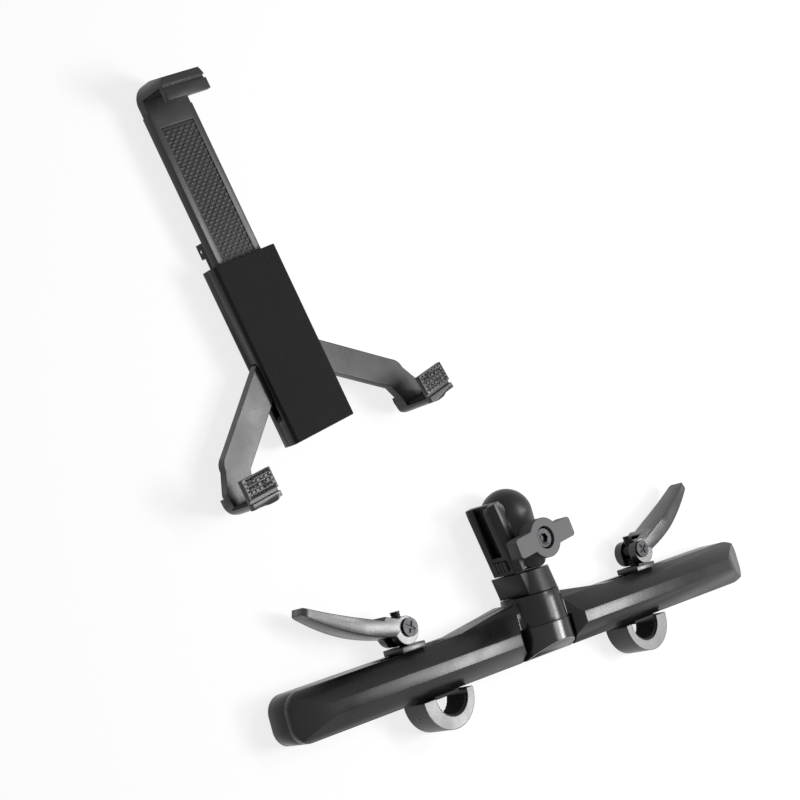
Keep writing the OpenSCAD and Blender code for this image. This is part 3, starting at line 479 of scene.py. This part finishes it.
def close_tree(t, geometries, out, mat):
    join = t.add("GeometryNodeJoinGeometry")
    for g in geometries:
        t.put(join.inputs[0], g)
    real = t.add("GeometryNodeRealizeInstances", {0: join.outputs[0]})
    dressed = t.add("GeometryNodeSetMaterial", {"Geometry": real.outputs[0], "Material": mat})
    t.put(out[0], dressed.outputs[0])


def vec(t, x=0.0, y=0.0, z=0.0):
    return t.add("ShaderNodeCombineXYZ", {0: x, 1: y, 2: z}).outputs[0]


def moved(t, geometry, offset):
    ins = {"Geometry": geometry, "Translation": offset}
    return t.add("GeometryNodeTransform", ins).outputs[0]


def shifted(t, geometry, offset):
    """The geometry with each of its points moved by the offset."""
    ins = {"Geometry": geometry, "Offset": offset}
    return t.add("GeometryNodeSetPosition", ins).outputs[0]


def strewn(t, points, instance):
    ins = {"Points": points, "Instance": instance}
    return t.add("GeometryNodeInstanceOnPoints", ins).outputs[0]


def cube(t, x, y, z):
    return t.add("GeometryNodeMeshCube", {"Size": vec(t, x, y, z)}).outputs["Mesh"]


def upright_rib(t, radius, height):
    ins = {
        "Vertices": RIB_SIDES, "Radius": radius, "Depth": t.minus(height, RIB_SHORTER),
    }
    return t.add("GeometryNodeMeshCylinder", ins, fill_type="NGON").outputs["Mesh"]


def threaded_rod():
    """A cylinder whose surface sinks along a helix, plain at both ends."""
    tree, t, i, o = geo_tree(
        "threaded_rod",
        [("Radius", FLOAT, 0.002), ("Length", FLOAT, 0.03), ("Pitch", FLOAT, 0.001),
         ("Depth", FLOAT, 0.0003), ("Rings", INT, 200), ("Sides", INT, 32),
         ("Material", MATERIAL, None)],
    )
    ins = {
        "Vertices": i["Sides"], "Side Segments": i["Rings"],
        "Radius": i["Radius"], "Depth": i["Length"],
    }
    rod = t.add("GeometryNodeMeshCylinder", ins, fill_type="NGON").outputs["Mesh"]
    place = t.add("GeometryNodeInputPosition").outputs[0]
    x, y, z = t.add("ShaderNodeSeparateXYZ", {0: place}).outputs
    turn = t.math("DIVIDE", t.math("ARCTAN2", y, x), 2 * math.pi)
    phase = t.minus(t.math("DIVIDE", z, i["Pitch"]), turn)
    wave = t.times(t.math("PINGPONG", phase, 0.5), 2.0)
    inside = t.minus(t.times(i["Length"], 0.5), t.math("ABSOLUTE", z))
    fade = t.math("DIVIDE", inside, i["Pitch"], clamp=True)
    sink = t.times(t.times(wave, fade), t.math("DIVIDE", i["Depth"], i["Radius"]))
    inward = t.times(sink, -1.0)
    cut = shifted(t, rod, vec(t, t.times(x, inward), t.times(y, inward)))
    close_tree(t, [cut], o, i["Material"])
    return tree


def ribbed_lining():
    """A flat rubber plate with upright half-round ribs; its back lies in the plane y = 0."""
    tree, t, i, o = geo_tree(
        "ribbed_lining",
        [("Width", FLOAT, 0.02), ("Height", FLOAT, 0.01), ("Back", FLOAT, 0.0006),
         ("Rib", FLOAT, 0.0004), ("Count", INT, 9), ("Material", MATERIAL, None)],
    )
    plate = cube(t, i["Width"], i["Back"], i["Height"])
    plate = moved(t, plate, vec(t, 0.0, t.times(i["Back"], 0.5)))
    half = t.minus(t.times(i["Width"], 0.5), t.times(i["Rib"], 1.3))
    ins = {
        "Count": i["Count"],
        "Start Location": vec(t, t.times(half, -1.0), i["Back"]),
        "Offset": vec(t, half, i["Back"]),
    }
    line = t.add("GeometryNodeMeshLine", ins, mode="END_POINTS").outputs["Mesh"]
    ribs = strewn(t, line, upright_rib(t, i["Rib"], i["Height"]))
    close_tree(t, [plate, ribs], o, i["Material"])
    return tree


def curved_lining():
    """An arc of rubber strip with ribs on its inner side, about the middle of its height."""
    tree, t, i, o = geo_tree(
        "curved_lining",
        [("Radius", FLOAT, 0.008), ("Thick", FLOAT, 0.0006), ("Height", FLOAT, 0.011),
         ("Rib", FLOAT, 0.0004), ("Start", FLOAT, 3.3), ("Sweep", FLOAT, 2.8),
         ("Count", INT, 15), ("Material", MATERIAL, None)],
    )
    strip_steps = 64

    def arc(radius, count):
        ins = {
            "Radius": radius, "Start Angle": i["Start"], "Sweep Angle": i["Sweep"],
            "Resolution": count,
        }
        return t.add("GeometryNodeCurveArc", ins, mode="RADIUS").outputs[0]

    middle = arc(t.minus(i["Radius"], t.times(i["Thick"], 0.5)), strip_steps)
    middle = t.add("GeometryNodeSetCurveNormal", {0: middle}, mode="Z_UP").outputs[0]
    ins = {"Width": i["Thick"], "Height": i["Height"]}
    section = t.add("GeometryNodeCurvePrimitiveQuadrilateral", ins, mode="RECTANGLE")
    ins = {"Curve": middle, "Profile Curve": section.outputs[0], "Fill Caps": True}
    strip = t.add("GeometryNodeCurveToMesh", ins).outputs[0]
    ins = {"Curve": arc(t.minus(i["Radius"], i["Thick"]), i["Count"]), "Count": i["Count"]}
    points = t.add("GeometryNodeCurveToPoints", ins, mode="COUNT").outputs[0]
    ribs = strewn(t, points, upright_rib(t, i["Rib"], i["Height"]))
    close_tree(t, [strip, ribs], o, i["Material"])
    return tree


def staggered_blocks():
    """Low blocks in staggered rows, centred on the origin, standing on z = 0."""
    tree, t, i, o = geo_tree(
        "staggered_blocks",
        [("Rows", INT, 20), ("Columns", INT, 5), ("Row Step", FLOAT, 0.002),
         ("Column Step", FLOAT, 0.003), ("Size X", FLOAT, 0.001), ("Size Y", FLOAT, 0.001),
         ("Size Z", FLOAT, 0.0004), ("Material", MATERIAL, None)],
    )
    ins = {
        "Size X": t.times(t.minus(i["Columns"], 1.0), i["Column Step"]),
        "Size Y": t.times(t.minus(i["Rows"], 1.0), i["Row Step"]),
        "Vertices X": i["Columns"], "Vertices Y": i["Rows"],
    }
    field = t.add("GeometryNodeMeshGrid", ins).outputs["Mesh"]
    row = t.math("MODULO", t.add("GeometryNodeInputIndex").outputs[0], i["Rows"])
    odd = t.math("MODULO", row, 2.0)
    aside = t.times(t.minus(odd, 0.5), t.times(i["Column Step"], 0.5))
    block = cube(t, i["Size X"], i["Size Y"], i["Size Z"])
    block = moved(t, block, vec(t, z=t.times(i["Size Z"], 0.5)))
    close_tree(t, [strewn(t, shifted(t, field, vec(t, aside)), block)], o, i["Material"])
    return tree


THREAD, RIBBED, CURVED, BLOCKS = (
    threaded_rod(), ribbed_lining(), curved_lining(), staggered_blocks())


def grow(name, tree, place, **sizes):
    """The tree's result as a plain mesh in the row frame."""
    holder = bpy.data.objects.new(name, bpy.data.meshes.new(name + "_seed"))
    link(holder)
    mod = holder.modifiers.new("tree", "NODES")
    mod.node_group = tree
    ids = {
        s.name: s.identifier for s in tree.interface.items_tree
        if s.item_type == "SOCKET" and s.in_out == "INPUT"
    }
    for key, value in sizes.items():
        mod[ids[key.replace("_", " ")]] = value
    deps = bpy.context.evaluated_depsgraph_get()
    me = bpy.data.meshes.new_from_object(holder.evaluated_get(deps))
    bpy.data.objects.remove(holder)
    me.name = name
    me.transform(place)
    return me


def add_box(me, lo, hi):
    """Adds a closed box to a mesh."""
    bm = bmesh.new()
    bm.from_mesh(me)
    size = [b - a for a, b in zip(lo, hi)]
    middle = [(a + b) / 2 for a, b in zip(lo, hi)]
    place = Matrix.Translation(middle) @ Matrix.Diagonal((*size, 1.0))
    bmesh.ops.create_cube(bm, size=1.0, matrix=place)
    bm.to_mesh(me)
    bm.free()


def piece(name, me, body, slot, node=None):
    """The mesh as a finished piece on a body, in place of a node where one is given."""
    me.materials.clear()
    me.materials.append(finish_of(node) if node else MATS[slot])
    me.polygons.foreach_set("material_index", [0] * len(me.polygons))
    ob = bpy.data.objects.new(name, me)
    link(ob)
    finish_mesh(me)
    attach(ob, body)
    if node:
        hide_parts(node)
    return ob


# ---------------------------------------------------------------- threads and linings

THREAD_PITCH = 1.0 * MM
THREAD_DEPTH = 0.28 * MM
RINGS_A_TURN = 8
TO_Y = Matrix.Rotation(math.radians(-90), 4, "X")
HALF_TURN = Matrix.Rotation(math.pi, 4, "Z")
RIB = 0.4 * MM
POST_PAD_THICK = 1.3 * MM
POST_PAD_TAIL = 3.0 * MM  # length of the end that is bent into the bar
POST_PAD_HALF = 2.1 * MM  # half the height of that end
GRIP_THICK = 1.0 * MM
GRIP_STEP = 1.4 * MM
GRIP_INSIDE = 0.998  # the grips' share of the solids' width and height


def stem_thread(node):
    lo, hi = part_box(node)
    length = hi.y - lo.y
    me = grow(
        node + "_thread", THREAD, Matrix.Translation((lo + hi) / 2) @ TO_Y,
        Radius=(hi.x - lo.x) / 2, Length=length, Pitch=THREAD_PITCH, Depth=THREAD_DEPTH,
        Rings=int(length / THREAD_PITCH * RINGS_A_TURN), Sides=32, Material=finish_of(node),
    )
    piece(node + "_thread", me, body_of(node), "steel", node)


def hook_lining(node):
    """A ribbed arc as wide and deep as the hook's plain lining, a little short of its ends."""
    end_room = 0.03
    lo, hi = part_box(node)
    half, deep = (hi.x - lo.x) / 2, hi.y - lo.y
    radius = (deep + half * half / deep) / 2
    dip = math.asin((radius - deep) / radius)
    middle = ((lo.x + hi.x) / 2, lo.y + radius, (lo.z + hi.z) / 2)
    me = grow(
        node + "_ribs", CURVED, Matrix.Translation(middle),
        Radius=radius, Thick=0.6 * MM, Height=hi.z - lo.z, Rib=0.38 * MM,
        Start=math.pi + dip + end_room, Sweep=math.pi - 2 * dip - 2 * end_room, Count=15,
        Material=RUBBER,
    )
    piece(node + "_ribs", me, body_of(node), "rubber_black", node)


def post_pad(side):
    """The ribbed pad that faces the post, and its plain end that goes into the bar."""
    node = side + "_post_pad"
    lo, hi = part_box(node)
    sign = 1 if side == "right" else -1
    inner, outer = (lo.x, hi.x) if sign > 0 else (hi.x, lo.x)
    post = MOUNTS[side + "_post"]["pos_m"][0]
    reach = abs(post - inner)
    thick = POST_PAD_THICK
    z = (lo.z + hi.z) / 2
    me = grow(
        node + "_ribs", RIBBED, Matrix.Translation((post, lo.y + thick, z)) @ HALF_TURN,
        Width=2 * reach, Height=hi.z - lo.z, Back=thick - RIB, Rib=RIB, Count=9,
        Material=RUBBER,
    )
    z0, z1 = z - POST_PAD_HALF, z + POST_PAD_HALF
    x0, x1 = sorted((post + sign * reach * 0.98, outer))
    add_box(me, (x0, lo.y + 0.02 * MM, z0), (x1, lo.y + thick, z1))
    x0, x1 = sorted((outer - sign * POST_PAD_TAIL, outer))
    add_box(me, (x0, lo.y + thick * 0.9, z0), (x1, hi.y, z1))
    piece(node + "_ribs", me, body_of(node), "rubber_black", node)


for side in ("left", "right"):
    stem_thread(side + "_stem")
    hook_lining(side + "_liner")
    post_pad(side)

TABLET = Vector(MOUNTS["tablet_face"]["pos_m"])


def flat_frame(node):
    """Frame of a flat upright lining: x along it, y out of its face towards the tablet,
    z up, and its extents there."""
    me = NODES[node].data
    aim = TABLET - sum(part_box(node), Vector()) / 2
    area = {}
    for p in me.polygons:
        if abs(p.normal.z) < 0.1 and p.normal.dot(aim) > 0:
            key = (round(p.normal.x, 2), round(p.normal.y, 2))
            area[key] = area.get(key, 0) + p.area
    y = Vector((*max(area, key=area.get), 0)).normalized()
    x = y.cross(UP)
    points = [(v.co.dot(x), v.co.dot(y), v.co.z) for v in me.vertices]
    lo = [min(p[k] for p in points) for k in range(3)]
    hi = [max(p[k] for p in points) for k in range(3)]
    return x, y, lo, hi


def grip_lining(node):
    x, y, lo, hi = flat_frame(node)
    wide, high = hi[0] - lo[0], hi[2] - lo[2]
    at = x * (lo[0] + hi[0]) / 2 + y * (hi[1] - GRIP_THICK) + UP * (lo[2] + hi[2]) / 2
    turn = Matrix((x, y, UP)).transposed().to_4x4()
    me = grow(
        node + "_ribs", RIBBED, Matrix.Translation(at) @ turn,
        Width=wide * GRIP_INSIDE, Height=high * GRIP_INSIDE, Back=GRIP_THICK - RIB, Rib=RIB,
        Count=max(5, int(wide / GRIP_STEP)), Material=RUBBER,
    )
    piece(node + "_ribs", me, body_of(node), "rubber_black", node)


for node in ("claw_pad", "left_foot_pad", "right_foot_pad"):
    grip_lining(node)

# ---------------------------------------------------------------- foam pad, arm's hatch

SLIDE = Vector(JOINTS["arm_slide"]["axis"])  # along the cradle, towards the claw


def foam_pad():
    """The pad as a slab of foam: soft rounded edges and a slightly uneven, pressed face."""
    node = "foam_pad"
    edge, step, uneven = 0.55 * MM, 1.25 * MM, 0.12 * MM
    reach = 0.06  # the cuts go this far from the middle, past the pad's ends
    face_depth = 0.3 * MM
    waves, ripples = 90, 3.1
    me, bm = opened(node, "foam_slab")
    top = max(v.co.z for v in bm.verts)
    rim = []
    for e in bm.edges:
        a, b = (v.co.z for v in e.verts)
        if min(a, b) > top - 1e-6 or abs(a - b) > 1e-4:
            rim.append(e)
    bmesh.ops.bevel(
        bm, geom=rim, offset=edge, offset_type="OFFSET", segments=4, profile=0.6,
        affect="EDGES",
    )
    middle = sum(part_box(node), Vector()) / 2
    count = int(reach / step)
    for axis in (SLIDE, SLIDE.cross(UP)):
        for k in range(-count, count + 1):
            bmesh.ops.bisect_plane(
                bm, geom=[*bm.verts, *bm.edges, *bm.faces],
                plane_co=middle + axis * (k + 0.37) * step, plane_no=axis, dist=1e-6,
            )
    rnd = random.Random(11)
    shift = Vector((rnd.random(), rnd.random(), rnd.random())) * 10
    for v in bm.verts:
        if v.co.z > top - face_depth:
            q = v.co * waves + shift
            n = noise.noise(q) * 0.6 + noise.noise(q * ripples) * 0.4
            v.co.z -= (0.5 + 0.5 * n) * uneven
    closed(me, bm)
    ob = piece("foam_slab", me, body_of(node), "foam", node)


foam_pad()


def arm_hatch():
    """Fine staggered blocks on a thin panel in the arm's long recess."""
    top = 10.2 * MM  # of the blocks, above the ground
    block = Vector((1.7, 0.72, 0.27)) * MM
    row_step, column_step, columns = 1.35 * MM, 3.2 * MM, 5
    start, end, half = 18.1 * MM, 93.4 * MM, 7.9 * MM  # along the slide, and to each side
    end_room = 1.2 * MM
    overlap, panel_under = 0.01 * MM, 0.16 * MM
    long = end - start
    middle = TABLET + SLIDE * (start + end) / 2
    middle.z = top - block.z - overlap
    across = Vector((SLIDE.y, -SLIDE.x, 0))
    place = Matrix.Translation(middle) @ Matrix((across, SLIDE, UP)).transposed().to_4x4()
    me = grow(
        "arm_hatch", BLOCKS, place, Rows=int((long - end_room) / row_step), Columns=columns,
        Row_Step=row_step, Column_Step=column_step,
        Size_X=block.x, Size_Y=block.y, Size_Z=block.z, Material=MATS["arm_grey"],
    )
    panel = bpy.data.meshes.new("arm_panel")
    add_box(panel, (-half, -long / 2, -panel_under), (half, long / 2, overlap))
    panel.transform(place)
    bm = bmesh.new()
    bm.from_mesh(me)
    bm.from_mesh(panel)
    bm.to_mesh(me)
    bm.free()
    piece("arm_hatch", me, "arm", "arm_grey")


arm_hatch()

# ---------------------------------------------------------------- floor and background

FLOOR_HALF = 6.0
FLOOR_DROP = 0.2 * MM
FLOOR_GREY = 0.86
FLOOR_WHITE = 0.80  # share of plain white in the floor as it is seen
WORLD_LIGHT = 0.28
WHITE = (1, 1, 1, 1)


def seen_rays(t):
    """1 for camera, glossy and transmission rays, and 0 for all others."""
    rays = t.add("ShaderNodeLightPath").outputs
    seen = t.math("MAXIMUM", rays["Is Camera Ray"], rays["Is Glossy Ray"])
    return t.math("MAXIMUM", seen, rays["Is Transmission Ray"])


def mixed(t, factor, first, second):
    return t.add("ShaderNodeMixShader", {0: factor, 1: first, 2: second}).outputs[0]


def pale_floor():
    """A pale ground that keeps the object's shadow."""
    m, t, bsdf, _ = material("pale_floor")
    t.fill(bsdf, {"Base Color": tone([FLOOR_GREY] * 3), "Roughness": 0.9})
    white = t.add("ShaderNodeEmission", {"Color": WHITE, "Strength": 1.0}).outputs[0]
    share = t.times(seen_rays(t), FLOOR_WHITE)
    out = next(n for n in m.node_tree.nodes if n.type == "OUTPUT_MATERIAL")
    t.put(out.inputs["Surface"], mixed(t, share, bsdf.outputs[0], white))
    me = bpy.data.meshes.new("floor")
    bm = bmesh.new()
    bmesh.ops.create_grid(bm, x_segments=1, y_segments=1, size=FLOOR_HALF)
    bm.to_mesh(me)
    bm.free()
    me.materials.append(m)
    floor = bpy.data.objects.new("floor", me)
    floor.location = (0, 0, -FLOOR_DROP)
    link(floor)


pale_floor()


def studio():
    """A world that is white to look at and lights the object at a plain level."""
    world = bpy.data.worlds.new("studio")
    scene.world = world
    world.use_nodes = True
    world.node_tree.nodes.clear()
    t = Tree(world.node_tree)
    out = t.add("ShaderNodeOutputWorld")
    dim, white = (
        t.add("ShaderNodeBackground", {"Color": WHITE, "Strength": s}).outputs[0]
        for s in (WORLD_LIGHT, 1.0)
    )
    t.put(out.inputs["Surface"], mixed(t, seen_rays(t), dim, white))


studio()

# ---------------------------------------------------------------- lamps and camera


def lamp(name, at, target, size, size_y, watts):
    """A rectangular lamp aimed at the target."""
    data = bpy.data.lights.new(name, "AREA")
    data.energy = watts
    data.shape = "RECTANGLE"
    data.size = size
    data.size_y = size_y
    ob = bpy.data.objects.new(name, data)
    at, target = Vector(at), Vector(target)
    aim = (target - at).to_track_quat("-Z", "Y")
    ob.matrix_world = Matrix.Translation(at) @ aim.to_matrix().to_4x4()
    link(ob)


lamp("key", (0.60, -0.10, 0.72), (0, 0.03, 0.01), 0.30, 0.22, 7.0)
lamp("top", (0.38, -0.03, 0.87), (0, 0.03, 0.01), 0.24, 0.30, 2.6)
lamp("glint", (0.163, 0.145, 0.41), (-0.12, 0.10, 0.01), 0.10, 0.06, 0.6)

# the photograph's camera, as fitted to its points
VIEW_AT = (-0.46249, 0.05592, 0.49959)
VIEW_UP = Vector((0.15597, 0.95948, 0.23468))
VIEW_BACK = Vector((-0.65261, -0.07825, 0.75365))
LENS_MM, SENSOR_MM = 71.867, 36.0

back = VIEW_BACK.normalized()
right = VIEW_UP.cross(back).normalized()
up = back.cross(right).normalized()
cam_data = bpy.data.cameras.new("photo_view")
cam_data.lens = LENS_MM
cam_data.sensor_width = SENSOR_MM
cam_data.sensor_fit = "HORIZONTAL"
cam_data.clip_start = 0.01
cam_data.clip_end = 20.0
cam = bpy.data.objects.new("photo_view", cam_data)
turn = Matrix((right, up, back)).transposed().to_4x4()
cam.matrix_world = Matrix.Translation(VIEW_AT) @ turn
link(cam)
scene.camera = cam
scene.view_settings.view_transform = "Standard"
